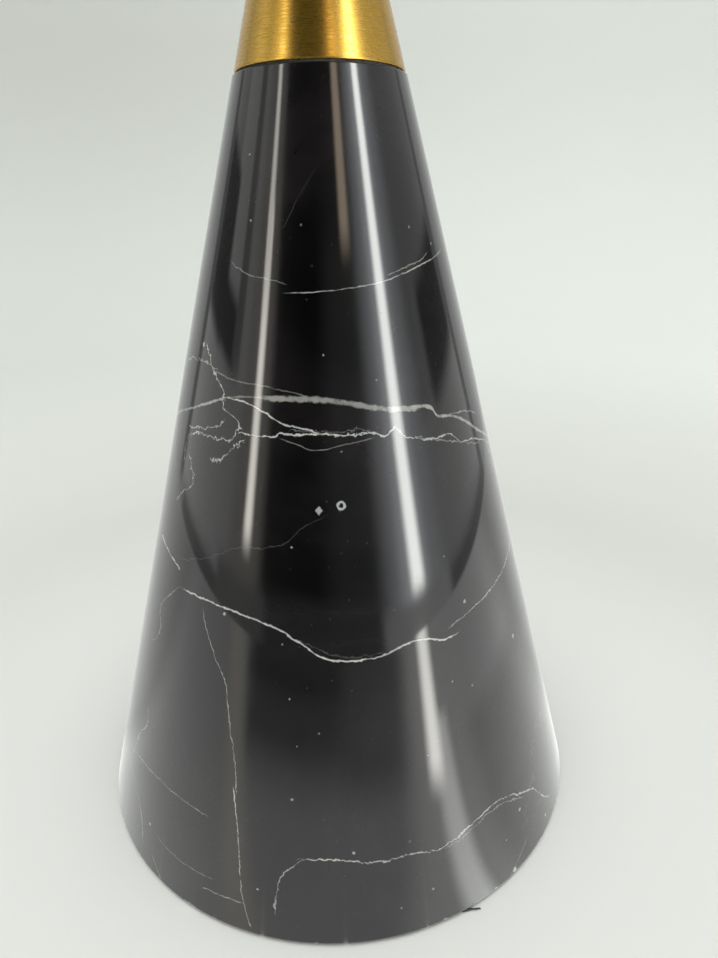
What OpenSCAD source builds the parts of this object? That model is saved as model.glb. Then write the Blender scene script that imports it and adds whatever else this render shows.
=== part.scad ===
// Round pedestal table: a turned stone cone standing on a felt ring, a brass neck
// that carries the cone's taper on, a slim brass stem and a round stone top. One
// steel tie rod runs up the middle and clamps it all together, and four glides
// screw down out of the hollow foot to level the table on an uneven floor.
// Millimetres, +Z up, origin on the floor under the centre of the table.

/* [Overall] */
// Height of the table, floor to the face of the top
table_h = 600; // [580:5:660]
// Diameter of the round top
top_d = 400; // [360:10:440]
// Thickness of the round top
top_t = 20; // [20:1:30]

/* [Stone cone] */
// Diameter of the cone at its foot
foot_d = 300; // [290:5:330]
// Diameter of the cone at its head
head_d = 84; // [82:1:90]
// Height of the cone
cone_h = 400; // [390:5:410]
// Bore down the middle for the tie rod
bore_d = 14; // [13:0.5:18]
// Bevel round the foot
foot_arris = 1; // [0.5:0.1:2]
// Bevel round the head, where the stone meets the neck
head_arris = 0.5; // [0.3:0.1:1]

/* [Neck and stem] */
// Height of the brass neck
neck_h = 85; // [80:1:88]
// Wall of the brass neck
neck_wall = 2.5; // [2:0.1:3]
// Outer diameter of the stem
stem_d = 30; // [28:0.5:31]
// Wall of the stem
stem_wall = 2; // [1.5:0.1:2.5]
// How far the brass stands inside the line of the stone
neck_inset = 0.6; // [0.2:0.1:1]
// Shadow gap between stone and brass, and between flange and top
gap = 1.2; // [0.8:0.1:2]

/* [Fixings] */
// Diameter of the top flange under the table top
flange_d = 180; // [170:5:200]
// Bolt circle of the screws into the table top
screw_pcd = 140; // [120:5:144]
// How many screws hold the table top
screw_count = 6; // [4:1:8]

/* [Levelling glides] */
// How many glides level the table
glide_count = 4; // [3:1:4]
// Distance of each glide from the middle
glide_r = 98; // [90:1:99]
// Diameter of a glide's pad
pad_d = 30; // [26:1:32]
// How far a glide screws out
glide_travel = 12; // [8:1:12]

/* [Hidden] */
$fn = 96;
slack = 0.05;          // radial room of a thread or a sliding fit
GLIDES = [for (i = [1:glide_count]) i];

// Heights, from the floor up
felt_t = 2;
stone_z = felt_t;                     // underside of the stone
head_z = stone_z + cone_h;            // head of the stone
neck_z = head_z + gap;                // foot of the brass neck
neck_top_z = neck_z + neck_h;
top_z = table_h - top_t;              // underside of the table top
flange_t = 5;
flange_z = top_z - gap - flange_t;    // underside of the steel flange
spreader_t = 5;
spigot_h = 10;                        // spigots that centre the stem at both ends

// Radius of the cone's line at a height: stone and brass share it
taper = (foot_d - head_d) / 2 / cone_h;
function line_r(z) = foot_d / 2 - taper * (z - stone_z);
function neck_r(z) = line_r(z) - neck_inset;

// Brass neck
neck_foot_r = neck_r(neck_z) - 4.5;   // inside of its thickened foot
neck_foot_h = 4;
neck_cap_t = 4;

// Underside of the stone
recess_d = 236;
recess_h = 22;
plate_t = 5;
plate_z = stone_z + recess_h - plate_t;
felt_set_back = 5;                    // from the rim of the stone

// Tie rod and its nuts: M12
rod_d = 12;
rod_z = 4.5;
nut_af = 18;
nut_h = 8;
thin_nut_h = 7;
rod_top_z = flange_z + flange_t + thin_nut_h + 2;
spring_t = 2.5;
washer_t = 2.5;
washer_z = plate_z - washer_t;
spring_z = washer_z - spring_t;
nut_z = spring_z - nut_h;
rod_pocket_d = 40;                    // pocket in the table top over the rod's end
rod_pocket_h = 12;

// Glides: M8 studs. Screwed right in, the hexagon stops just short of its nut
pad_z = 0.5;                          // screwed in, the pads clear the floor
stud_d = 8;
glide_nut_h = 6.5;
glide_af = 13;
glide_nut_z = plate_z - glide_nut_h;
hex_h = 4.5;
hex_z = glide_nut_z - hex_h - 0.1;
pad_h = hex_z - pad_z - slack;
socket_h = 5;
stud_top_z = plate_z + plate_t + glide_travel + 2;
stud_bevel = 1;
relief_d = 12;
relief_top_z = stud_top_z + 4;

// Screws into the table top: M6
screw_d = 6;
screw_head_d = 10.5;
screw_head_h = 3.3;
small_washer_d = 12;
small_washer_t = 1.6;
screw_len = 16;
insert_d = 9.5;
insert_h = 12;

// Ring and collar on the stem
ring_h = 8;
collar_h = 8;
collar_lip = 1.5;
grub_d = 4;
grub_l = 2.4;

STONE = "#1c1c1f";
BRASS = "#b98a3a";
STEEL = "#8f9296";
BLACK = "#202022";
NYLON = "#2a2a2c";

// ---------- shared shapes ----------

// Points of an arc from angle a to angle b about c
function arc(c, r, a, b, n = 8) =
    [for (i = [0:n]) let (t = a + (b - a) * i / n) [c.x + r * cos(t), c.y + r * sin(t)]];

// A flat ring standing on z
module ring(od, id, h, z) {
    translate([0, 0, z])
        difference() {
            cylinder(d = od, h = h);
            translate([0, 0, -1]) cylinder(d = id, h = h + 2);
        }
}

// A hexagon across flats af, with its corners bevelled at both ends
module hex_prism(af, h, z) {
    corner = af / cos(30) / 2;
    bevel = corner - af / 2;
    translate([0, 0, z])
        intersection() {
            cylinder(r = corner, h = h, $fn = 6);
            rotate_extrude()
                polygon([
                    [0, 0], [af / 2, 0], [corner, bevel * 0.6],
                    [corner, h - bevel * 0.6], [af / 2, h], [0, h]
                ]);
        }
}

module hex_nut(af, hole_d, h, z) {
    difference() {
        hex_prism(af, h, z);
        translate([0, 0, z - 1]) cylinder(d = hole_d, h = h + 2);
    }
}

// Place i of count places spaced evenly round the middle, half a step on from +X
module place(i, count, r) {
    rotate([0, 0, (i + 0.5) * 360 / count]) translate([r, 0, 0]) children();
}

module round_places(count, r) {
    for (i = [0:count - 1])
        place(i, count, r) children();
}

// ---------- stone cone and what is under it ----------

module stone_cone() {
    foot_r = line_r(stone_z + foot_arris);
    head_r = line_r(head_z - head_arris);
    color(STONE)
        difference() {
            rotate_extrude()
                polygon([
                    [0, stone_z], [foot_r - foot_arris, stone_z], [foot_r, stone_z + foot_arris],
                    [head_r, head_z - head_arris], [head_r - head_arris, head_z], [0, head_z]
                ]);
            translate([0, 0, stone_z - 1]) cylinder(d = recess_d, h = recess_h + 1);
            translate([0, 0, stone_z]) cylinder(d = bore_d, h = cone_h + 1);
            round_places(glide_count, glide_r)
                translate([0, 0, stone_z + recess_h - 1])
                    cylinder(d = relief_d, h = relief_top_z - stone_z - recess_h + 1);
        }
}

module base_plate() {
    color(BLACK)
        difference() {
            translate([0, 0, plate_z]) cylinder(d = recess_d - 6, h = plate_t);
            translate([0, 0, plate_z - 1]) cylinder(d = rod_d + 1, h = plate_t + 2);
            round_places(glide_count, glide_r)
                translate([0, 0, plate_z - 1]) cylinder(d = stud_d + 2 * slack, h = plate_t + 2);
        }
}

module glide_nuts() {
    color(STEEL)
        round_places(glide_count, glide_r)
            hex_nut(glide_af, stud_d + 2 * slack, glide_nut_h, glide_nut_z);
}

// The table stands on this ring, glued to the flat rim of the stone
module felt_ring() {
    color(BLACK) ring(foot_d - 2 * felt_set_back, recess_d + 4, felt_t, 0);
}

// A pad is a low nylon puck with a rounded foot and a socket for its stud
module glide_pad(i) {
    round_r = 1.5;
    shoulder = 6;
    color(NYLON)
        place(i - 1, glide_count, glide_r) translate([0, 0, pad_z])
            difference() {
                rotate_extrude()
                    polygon(concat(
                        [[0, 0]],
                        arc([pad_d / 2 - round_r, round_r], round_r, -90, 0),
                        [[pad_d / 2, pad_h * 0.6], [pad_d / 2 - shoulder, pad_h], [0, pad_h]]
                    ));
                translate([0, 0, pad_h - socket_h]) cylinder(d = stud_d + 2 * slack, h = socket_h + 1);
            }
}

// A stud: a plain end in the pad, a hexagon for the spanner and a threaded shank
module glide_stud(i) {
    end_z = hex_z - socket_h + 0.2;
    color(STEEL)
        place(i - 1, glide_count, glide_r)
            union() {
                rotate_extrude()
                    polygon([
                        [0, end_z], [stud_d / 2, end_z],
                        [stud_d / 2, stud_top_z - stud_bevel],
                        [stud_d / 2 - stud_bevel, stud_top_z],
                        [0, stud_top_z]
                    ]);
                hex_prism(glide_af, hex_h, hex_z);
            }
}

// ---------- tie rod ----------

module tie_rod() {
    end_bevel = 1;
    color(STEEL)
        rotate_extrude()
            polygon([
                [0, rod_z], [rod_d / 2 - end_bevel, rod_z], [rod_d / 2, rod_z + end_bevel],
                [rod_d / 2, rod_top_z - end_bevel], [rod_d / 2 - end_bevel, rod_top_z], [0, rod_top_z]
            ]);
}

module rod_nut() {
    color(STEEL) hex_nut(nut_af, rod_d + 2 * slack, nut_h, nut_z);
}

// A split ring, pressed flat by the nut
module rod_spring_washer() {
    split = 2;
    color(STEEL)
        difference() {
            ring(21, rod_d + 0.6, spring_t, spring_z);
            translate([-split / 2, rod_d / 2 - 1, spring_z - 1]) cube([split, 8, spring_t + 2]);
        }
}

module rod_washer() {
    color(STEEL) ring(24, rod_d + 1, washer_t, washer_z);
}

// ---------- brass neck and stem ----------

// Set back from both edges, so that the joint shows as a dark line
module neck_gasket() {
    color(BLACK) ring(head_d - 4, bore_d, gap, head_z);
}

// The steel disc that spreads the rod's pull over the stone and centres the stem
module spreader_plate() {
    color(BLACK)
        difference() {
            union() {
                translate([0, 0, neck_z]) cylinder(r = neck_foot_r - 0.3, h = spreader_t);
                spigot(neck_z + spreader_t - 0.5, spigot_h + 0.5);
            }
            translate([0, 0, neck_z - 1]) cylinder(d = rod_d + 1, h = spreader_t + spigot_h + 2);
        }
}

module spigot(z, h) {
    translate([0, 0, z]) cylinder(d = stem_d - 2 * stem_wall - 2 * slack, h = h);
}

// A turned shell on the line of the stone, thick at its foot, closed at the top
// round the stem
module brass_neck() {
    lip = 0.8;
    cap_z = neck_top_z - neck_cap_t;
    foot_z = neck_z + neck_foot_h;
    color(BRASS)
        rotate_extrude()
            polygon(concat(
                arc([neck_r(neck_z + lip) - lip, neck_z + lip], lip, -90, 0, 4),
                arc([neck_r(neck_top_z - lip) - lip, neck_top_z - lip], lip, 0, 90, 4),
                [
                    [stem_d / 2 + slack, neck_top_z],
                    [stem_d / 2 + slack, cap_z],
                    [neck_r(cap_z) - neck_wall, cap_z],
                    [neck_r(foot_z + 2) - neck_wall, foot_z + 2],
                    [neck_foot_r, foot_z],
                    [neck_foot_r, neck_z]
                ]
            ));
}

module stem_tube() {
    z = neck_z + spreader_t;
    color(BRASS) ring(stem_d, stem_d - 2 * stem_wall, flange_z - z, z);
}

// A ring with rounded edges that holds the neck down on the gasket
module neck_ring() {
    outer_r = neck_r(neck_top_z);
    bead = 2;
    mid_z = neck_top_z + ring_h / 2;
    color(BRASS)
        difference() {
            rotate_extrude()
                polygon(concat(
                    [[stem_d / 2 + slack, neck_top_z]],
                    arc([outer_r - bead, neck_top_z + bead], bead, -90, 0, 5),
                    arc([outer_r - bead, neck_top_z + ring_h - bead], bead, 0, 90, 5),
                    [[stem_d / 2 + slack, neck_top_z + ring_h]]
                ));
            translate([0, 0, mid_z]) rotate([-90, 0, 0])
                cylinder(d = grub_d + 2 * slack, h = outer_r + 1);
        }
}

// It stands at the back of the ring and bears on the stem
module ring_grub_screw() {
    socket_d = 2;
    color(STEEL)
        translate([0, stem_d / 2, neck_top_z + ring_h / 2]) rotate([-90, 0, 0])
            difference() {
                cylinder(d = grub_d, h = grub_l);
                translate([0, 0, grub_l - 1.4]) cylinder(d = socket_d / cos(30), h = 2, $fn = 6);
            }
}

// ---------- under the table top ----------

// A coved ring that hides where stem and flange meet
module upper_collar() {
    z = flange_z - collar_h;
    cove = collar_h - collar_lip;
    inner = stem_d / 2 + slack;
    outer = inner + collar_lip + cove;
    color(BRASS)
        rotate_extrude()
            polygon(concat(
                [[inner, z]],
                arc([outer, z], cove, 180, 90, 10),
                [[outer, flange_z], [inner, flange_z]]
            ));
}

module top_flange() {
    color(BLACK)
        difference() {
            union() {
                translate([0, 0, flange_z]) cylinder(d = flange_d, h = flange_t);
                spigot(flange_z - spigot_h, spigot_h + 1);
            }
            translate([0, 0, flange_z - spigot_h - 1])
                cylinder(d = rod_d + 2 * slack, h = spigot_h + flange_t + 2);
            round_places(screw_count, screw_pcd / 2)
                translate([0, 0, flange_z - 1]) cylinder(d = screw_d + 0.6, h = flange_t + 2);
        }
}

module rod_thin_nut() {
    color(STEEL) hex_nut(nut_af, rod_d + 2 * slack, thin_nut_h, flange_z + flange_t);
}

module top_pad() {
    color(BLACK)
        difference() {
            ring(flange_d, rod_pocket_d, gap, top_z - gap);
            round_places(screw_count, screw_pcd / 2)
                translate([0, 0, top_z - gap - 1]) cylinder(d = screw_d + 2, h = gap + 2);
        }
}

module top_inserts() {
    color(BRASS)
        round_places(screw_count, screw_pcd / 2)
            ring(insert_d, screw_d + 2 * slack, insert_h, top_z);
}

module top_washers() {
    color(STEEL)
        round_places(screw_count, screw_pcd / 2)
            ring(small_washer_d, screw_d + 0.4, small_washer_t, flange_z - small_washer_t);
}

// Button-head screws with a hexagon socket, driven up from below
module top_screws() {
    head_z0 = flange_z - small_washer_t;
    head_r = screw_head_d / 2;
    crown_r = head_r * 0.55;              // flat crown round the socket
    rim_h = 0.5;                          // straight edge at the washer
    key_af = 4;
    key_depth = 2;
    color(STEEL)
        round_places(screw_count, screw_pcd / 2)
            difference() {
                translate([0, 0, head_z0]) union() {
                    rotate_extrude()
                        polygon(concat(
                            [[0, -screw_head_h]],
                            [for (i = [0:6]) let (a = 15 * i)
                                [crown_r + (head_r - crown_r) * sin(a),
                                 -screw_head_h + (screw_head_h - rim_h) * (1 - cos(a))]],
                            [[head_r, 0], [0, 0]]
                        ));
                    cylinder(d = screw_d, h = screw_len);
                }
                translate([0, 0, head_z0 - screw_head_h - 1])
                    cylinder(d = key_af / cos(30), h = key_depth + 1, $fn = 6);
            }
}

module table_top() {
    edge = 2.5;
    r = top_d / 2;
    color(STONE)
        difference() {
            rotate_extrude()
                polygon(concat(
                    [[0, top_z]],
                    arc([r - edge, top_z + edge], edge, -90, 0, 6),
                    arc([r - edge, table_h - edge], edge, 0, 90, 6),
                    [[0, table_h]]
                ));
            translate([0, 0, top_z - 1]) cylinder(d = rod_pocket_d, h = rod_pocket_h + 1);
            round_places(screw_count, screw_pcd / 2)
                translate([0, 0, top_z - 1]) cylinder(d = insert_d, h = insert_h + 1);
        }
}

// ---------- nodes ----------

stone_cone();
base_plate();
glide_nuts();
felt_ring();
for (i = GLIDES) {
    glide_pad(i);
    glide_stud(i);
}
tie_rod();
rod_nut();
rod_spring_washer();
rod_washer();
neck_gasket();
spreader_plate();
brass_neck();
stem_tube();
neck_ring();
ring_grub_screw();
upper_collar();
top_flange();
rod_thin_nut();
top_pad();
top_inserts();
top_washers();
top_screws();
table_top();
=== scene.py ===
# %% [markdown]
# # A round pedestal table in black marble and brass
# The table is a heavy turned cone of polished black marble, a brushed brass neck that carries the
# cone's taper on, a slim brass stem and a round marble top. A steel rod clamps it together from inside.
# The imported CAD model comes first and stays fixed: it says where every piece is and how big. The pieces
# that show are then turned again here as smooth surfaces, in exactly the same places, and finished.

# %% Load the frame
import math

import bpy
import numpy as np
from mathutils import Matrix, Vector


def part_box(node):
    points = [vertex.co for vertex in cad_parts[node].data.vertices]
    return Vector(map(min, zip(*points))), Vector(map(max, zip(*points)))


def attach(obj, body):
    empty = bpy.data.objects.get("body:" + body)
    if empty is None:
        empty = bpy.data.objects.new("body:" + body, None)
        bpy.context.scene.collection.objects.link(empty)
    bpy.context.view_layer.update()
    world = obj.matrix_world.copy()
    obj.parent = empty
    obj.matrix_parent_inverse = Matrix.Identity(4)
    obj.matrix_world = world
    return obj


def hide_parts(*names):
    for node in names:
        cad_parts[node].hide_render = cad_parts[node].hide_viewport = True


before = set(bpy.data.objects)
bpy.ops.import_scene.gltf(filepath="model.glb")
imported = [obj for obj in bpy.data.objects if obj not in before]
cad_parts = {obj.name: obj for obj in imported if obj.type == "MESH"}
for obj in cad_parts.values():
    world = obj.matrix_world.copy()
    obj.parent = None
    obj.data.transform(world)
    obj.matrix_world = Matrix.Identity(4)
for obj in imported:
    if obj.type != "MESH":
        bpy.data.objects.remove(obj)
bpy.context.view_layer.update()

# %% [markdown]
# ## Sizes
# The main sizes are read from the frame, so they follow the CAD model; others are given as numbers. A turned
# piece needs only three: where it starts, where it ends and how far out it reaches. Blender counts in
# metres and a turner in millimetres, so lengths below are written as so many times `MM`. Stone and brass
# share one straight line, which starts at the foot and comes in by 0.27 mm with every millimetre of height.

# %% Sizes from the frame
MM = 0.001


def reach(node):
    """Lowest z, highest z and outer radius of a CAD node that stands on the table's axis, in metres."""
    low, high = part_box(node)
    return low.z, high.z, max(high.x, -low.x)


STONE_LOW, STONE_HIGH, FOOT_R = reach("stone_cone")
NECK_LOW, NECK_HIGH, _ = reach("brass_neck")
TOP_LOW, TOP_HIGH, TOP_R = reach("table_top")
TOP_R -= 0.06 * MM  # the CAD circle has flats, and they lie this far inside a true one
STEM_LOW, STEM_HIGH, STEM_R = reach("stem_tube")
LINE_FOOT_R, TAPER = 150 * MM, 0.27


def line_r(z):
    """Radius of the line that stone and brass share, at a height."""
    return LINE_FOOT_R - TAPER * (z - STONE_LOW)


print(f"stone {STONE_LOW:.4f} to {STONE_HIGH:.4f}, top face at {TOP_HIGH:.4f} m")

# %% [markdown]
# ## Camera
# The table is seen from close by and from a little above the stone's middle, with a wide lens, so the cone
# seems to lean in towards its head. A camera can be built from three turns: round the vertical (yaw), down
# (pitch) and round its own line of sight (roll). Multiplying the three rotations keeps each one readable.

# %% Camera
CAMERA_PLACE = Vector((0.0, -370.5, 347.0)) * MM
YAW, PITCH, ROLL = (math.radians(a) for a in (2.44, 22.56, -0.85))

camera_data = bpy.data.cameras.new("camera")
camera_data.lens, camera_data.sensor_width = 25.09, 36.0
camera_data.clip_start, camera_data.clip_end = 0.01, 50.0
camera = bpy.data.objects.new("camera", camera_data)
camera.matrix_world = (
    Matrix.Translation(CAMERA_PLACE)
    @ Matrix.Rotation(-YAW, 4, "Z")
    @ Matrix.Rotation(math.pi / 2 - PITCH, 4, "X")
    @ Matrix.Rotation(ROLL, 4, "Z")
)
bpy.context.scene.collection.objects.link(camera)
bpy.context.scene.camera = camera
bpy.context.scene.view_settings.view_transform = "Standard"
print("camera", round(math.degrees(2 * math.atan(18 / camera_data.lens)), 1), "degrees tall")

# %% [markdown]
# ## Surfaces as grids
# Almost everything on this table is turned, so one function makes most of it. A profile is a list of
# (radius, height) points walked so that the material lies on its left hand, and the lathe sweeps it round
# the axis. The grid is worked out as whole arrays: one row per profile point, one column per direction.
# A profile that starts and ends on the axis gets a single pole point there, so the skin is closed.

# %% Mesh helpers
TURN_STEPS = 256


def add_mesh(name, points, faces):
    """A smooth mesh object from an (n, 3) array of points in metres and a list of face arrays."""
    mesh = bpy.data.meshes.new(name)
    mesh.from_pydata(points.tolist(), [], sum((block.tolist() for block in faces), []))
    mesh.validate()
    mesh.polygons.foreach_set("use_smooth", np.ones(len(mesh.polygons), bool))
    piece = bpy.data.objects.new(name, mesh)
    bpy.context.scene.collection.objects.link(piece)
    return piece


def turned_points(profile, steps, place=(0.0, 0.0)):
    """Rings of points: x = r cos t, y = r sin t, z = z, for each profile point (r, z) and each angle t."""
    r, z = np.asarray(profile, float).T
    t = np.arange(steps) * 2 * math.pi / steps
    x = r[:, None] * np.cos(t) + place[0]
    y = r[:, None] * np.sin(t) + place[1]
    return np.stack([x, y, np.broadcast_to(z[:, None], x.shape)], axis=-1)


def ring_faces(rows, steps, first=0, closed=False):
    """Quads between neighbouring rings; closed joins the last ring to the first, as on a washer."""
    row = np.arange(rows if closed else rows - 1)[:, None]
    col = np.arange(steps)
    a = row * steps + col
    b = row * steps + (col + 1) % steps
    c = (row + 1) % rows * steps + (col + 1) % steps
    d = (row + 1) % rows * steps + col
    return np.stack([a, b, c, d], axis=-1).reshape(-1, 4) + first


def pole_faces(ring_start, steps, pole, flip):
    """Triangles from one ring to a pole point; flip turns them over, for the lower end."""
    col = np.arange(steps)
    a, b = ring_start + col, ring_start + (col + 1) % steps
    pair = [b, a] if flip else [a, b]
    return np.stack([*pair, np.full(steps, pole)], axis=-1)


def lathe(name, profile, steps=TURN_STEPS, place=(0.0, 0.0), hollow=False):
    """A turned piece: profile runs up the outside. Solid, it starts and ends on the axis and gets two
    poles; hollow, it is a closed loop (outside up, inside down) and has none."""
    if hollow:
        rings = turned_points(profile, steps, place)
        faces = [ring_faces(len(profile), steps, closed=True)]
        return add_mesh(name, rings.reshape(-1, 3), faces)
    rings = turned_points(profile[1:-1], steps, place)
    body = rings.reshape(-1, 3)
    poles = np.array([[*place, profile[0][1]], [*place, profile[-1][1]]])
    rows = len(rings)
    faces = [
        ring_faces(rows, steps),
        pole_faces(0, steps, len(body), flip=True),
        pole_faces((rows - 1) * steps, steps, len(body) + 1, flip=False),
    ]
    return add_mesh(name, np.vstack([body, poles]), faces)


def arc(centre, radius, start, end, count=6):
    """Points on a circle about centre (r, z), from start to end degrees."""
    t = np.radians(np.linspace(start, end, count))
    return [(centre[0] + radius * math.cos(a), centre[1] + radius * math.sin(a)) for a in t]


print("lathe ready, with", TURN_STEPS, "steps to a turn")

# %% [markdown]
# ## Shader groups
# The same few effects come back on many pieces: a place on a turned surface as an angle and a height,
# a vein, a fleck, brushing, the tiny unevenness of a polish. Each is built once as a node group with named
# inputs and outputs, and every material places it with its own values. A small builder keeps the wiring
# short: it makes a node, sets its plain values and links whatever is passed as a socket.

# %% Node helpers
def node(tree, kind, inputs=(), **settings):
    """Adds a shader node, sets its properties, and fills its inputs with sockets or plain values."""
    made = tree.nodes.new("ShaderNode" + kind)
    for key, value in settings.items():
        setattr(made, key, value)
    for key, value in dict(inputs).items():
        if isinstance(value, bpy.types.NodeSocket):
            tree.links.new(value, made.inputs[key])
        else:
            made.inputs[key].default_value = value
    return made


def maths(tree, operation, a, b=0.0, c=0.0, clamp=False):
    """One Math node, as a socket."""
    return node(tree, "Math", {0: a, 1: b, 2: c}, operation=operation, use_clamp=clamp).outputs[0]


MIDDLE = (0.5, 0.5, 0.5)  # the mean of a noise's colour


def vector_maths(tree, operation, a, b=(0.0, 0.0, 0.0), c=(0.0, 0.0, 0.0), scale=1.0):
    """One Vector Math node, as a socket: its number for a distance, else its vector."""
    made = node(tree, "VectorMath", {0: a, 1: b, 2: c, 3: scale}, operation=operation)
    return made.outputs["Value" if operation == "DISTANCE" else "Vector"]


def ramp(tree, value, low, high, to_low=0.0, to_high=1.0):
    """Value carried from low..high to to_low..to_high with eased ends, clamped, as a socket."""
    values = {0: value, 1: low, 2: high, 3: to_low, 4: to_high}
    return node(tree, "MapRange", values, interpolation_type="SMOOTHSTEP").outputs[0]


def noise(tree, vector, scale, detail=3.0, roughness=0.5, distortion=0.0):
    """A noise texture node on vector."""
    values = {"Vector": vector, "Scale": scale, "Detail": detail, "Roughness": roughness}
    return node(tree, "TexNoise", {**values, "Distortion": distortion})


def group(name, inputs, outputs):
    """A new shader group: inputs are name to ("float" or "vector", default), outputs name to kind."""
    tree = bpy.data.node_groups.new(name, "ShaderNodeTree")
    kinds = {"float": "NodeSocketFloat", "vector": "NodeSocketVector"}
    for key, (kind, default) in inputs.items():
        socket = tree.interface.new_socket(key, in_out="INPUT", socket_type=kinds[kind])
        if default is not None:
            socket.default_value = default
    for key, kind in outputs.items():
        tree.interface.new_socket(key, in_out="OUTPUT", socket_type=kinds[kind])
    return tree, tree.nodes.new("NodeGroupInput").outputs, tree.nodes.new("NodeGroupOutput").inputs


def use(tree, group_tree, inputs=()):
    """Places a group in a tree and returns its outputs."""
    made = tree.nodes.new("ShaderNodeGroup")
    made.node_tree = group_tree
    for key, value in dict(inputs).items():
        if isinstance(value, bpy.types.NodeSocket):
            tree.links.new(value, made.inputs[key])
        else:
            made.inputs[key].default_value = value
    return made.outputs


def blank(name):
    """A new node material: its tree, its Principled shader and an Object coordinate socket."""
    material = bpy.data.materials.new(name)
    material.use_nodes = True
    tree = material.node_tree
    return material, tree, tree.nodes["Principled BSDF"], node(tree, "TexCoord").outputs["Object"]


def mix_colour(tree, factor, a, b):
    """Colour a where factor is 0, b where it is 1, as a socket. a and b are sockets or (r, g, b)."""
    made = node(tree, "Mix", data_type="RGBA")
    for index, value in ((0, factor), (6, a), (7, b)):
        if isinstance(value, bpy.types.NodeSocket):
            tree.links.new(value, made.inputs[index])
        else:
            made.inputs[index].default_value = (*value, 1) if index else value
    return made.outputs[2]


print("node helpers ready")

# %% [markdown]
# ### A place on a turned surface
# On a cone the natural coordinates are the angle round it and the height up it. The angle is the arctangent
# of x over minus y, so 0 is the front and positive angles go to the right. Angles come out in degrees and
# lengths in millimetres, the numbers a person would read off the stone with a tape.

# %% Group: angle and height
ROUND, given, out = group(
    "angle_and_height", {"Vector": ("vector", None)}, {"Angle": "float", "Height": "float", "Radius": "float"}
)
parts = node(ROUND, "SeparateXYZ", {0: given["Vector"]}).outputs
radians = maths(ROUND, "ARCTAN2", parts["X"], maths(ROUND, "MULTIPLY", parts["Y"], -1.0))
y_squared = maths(ROUND, "MULTIPLY", parts["Y"], parts["Y"])
squares = maths(ROUND, "MULTIPLY_ADD", parts["X"], parts["X"], y_squared)
ROUND.links.new(maths(ROUND, "DEGREES", radians), out["Angle"])
ROUND.links.new(maths(ROUND, "MULTIPLY", parts["Z"], 1000.0), out["Height"])
ROUND.links.new(maths(ROUND, "MULTIPLY", maths(ROUND, "SQRT", squares), 1000.0), out["Radius"])
print("group", ROUND.name)

# %% [markdown]
# ### A soft patch
# A mask that is 1 inside a range of angles and a range of distances and fades to 0 over soft edges. Angles
# don't wrap past the back, so a patch stays between -180 and 180. On a floor, lean makes a patch follow a
# straight path that misses the middle: the angle turns by lean / distance.

# %% Group: soft patch
PATCH, given, out = group(
    "soft_patch",
    {
        "Angle": ("float", 0.0), "From": ("float", -10.0), "To": ("float", 10.0), "Soft": ("float", 2.0),
        "Far": ("float", 0.0), "Low": ("float", 0.0), "High": ("float", 100.0), "Soft far": ("float", 10.0),
        "Lean": ("float", 0.0),
    },
    {"Mask": "float"},
)


def within(value, low, high, soft):
    """1 between low and high, falling to 0 over soft on both sides."""
    above, below = maths(PATCH, "SUBTRACT", value, low), maths(PATCH, "SUBTRACT", high, value)
    nearest = maths(PATCH, "MINIMUM", above, below)
    return ramp(PATCH, maths(PATCH, "DIVIDE", nearest, soft), -1.0, 0.0)


leaning = maths(PATCH, "ADD", given["Angle"], maths(PATCH, "DIVIDE", given["Lean"], given["Far"]))
by_angle = within(leaning, given["From"], given["To"], given["Soft"])
by_far = within(given["Far"], given["Low"], given["High"], given["Soft far"])
PATCH.links.new(maths(PATCH, "MULTIPLY", by_angle, by_far), out["Mask"])
print("group", PATCH.name)

# %% [markdown]
# ## The studio
# Black marble has hardly any colour of its own: it shows what stands round it. So the studio is built for
# its reflections. A pale floor sweeps up into a pale wall all round, lit softly from overhead. Its colour
# carries painted light: the floor paler near the table and darker further out, the wall darker higher up,
# and both paler out to the right. All of it is stage, not table.

# %% Studio: floor, wall and light
FLOOR_R, SWEEP_R, WALL_HIGH = 1.3, 0.8, 2.6

sweep_paint, tree, shader, place = blank("paper_with_painted_light")
drift = noise(tree, place, 2.2, 3.0, 0.5).outputs[0]
far_out = use(tree, ROUND, {"Vector": place})
# painted light: the floor is paler near the table, darker further out and a touch paler again far out
painted_light_falloff = ramp(tree, far_out["Radius"], 150.0, 450.0)
paper_tone_and_painted_light = mix_colour(tree, painted_light_falloff, (0.84, 0.843, 0.82), (0.64, 0.648, 0.625))
paper_tone_and_painted_light = mix_colour(tree, ramp(tree, far_out["Radius"], 600.0, 1500.0), paper_tone_and_painted_light, (0.66, 0.675, 0.65))
# painted shade: the wall is darker higher up
paper_tone_and_painted_light = mix_colour(tree, ramp(tree, far_out["Height"], 50.0, 800.0), paper_tone_and_painted_light, (0.575, 0.582, 0.56))
# painted light: floor and wall paler out to the right; the drift mottle below is the paper's own
painted_light_right = ramp(tree, node(tree, "SeparateXYZ", {0: place}).outputs[0], -0.9, 0.9)
painted_light_right = maths(tree, "MULTIPLY", painted_light_right, ramp(tree, far_out["Radius"], 600.0, 1400.0, 0.0, 0.55))
paper_tone_and_painted_light = mix_colour(tree, painted_light_right, paper_tone_and_painted_light, (0.84, 0.855, 0.84))
paper_tone_and_painted_light = mix_colour(tree, maths(tree, "MULTIPLY", drift, 0.10), paper_tone_and_painted_light, (0.50, 0.53, 0.51))
tree.links.new(paper_tone_and_painted_light, shader.inputs["Base Color"])
shader.inputs["Specular IOR Level"].default_value = 0.0  # no shine, or the screens would show in it
sweep_profile = [(0.001, 0), (0.4, 0), (0.9, 0), (FLOOR_R, 0)]
sweep_profile += arc((FLOOR_R, SWEEP_R), SWEEP_R, -80, 0, 9) + [(FLOOR_R + SWEEP_R, WALL_HIGH)]
sweep_rings = turned_points(sweep_profile, 96)
sweep = add_mesh("sweep", sweep_rings.reshape(-1, 3), [ring_faces(len(sweep_profile), 96)])
sweep.data.materials.append(sweep_paint)


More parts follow.
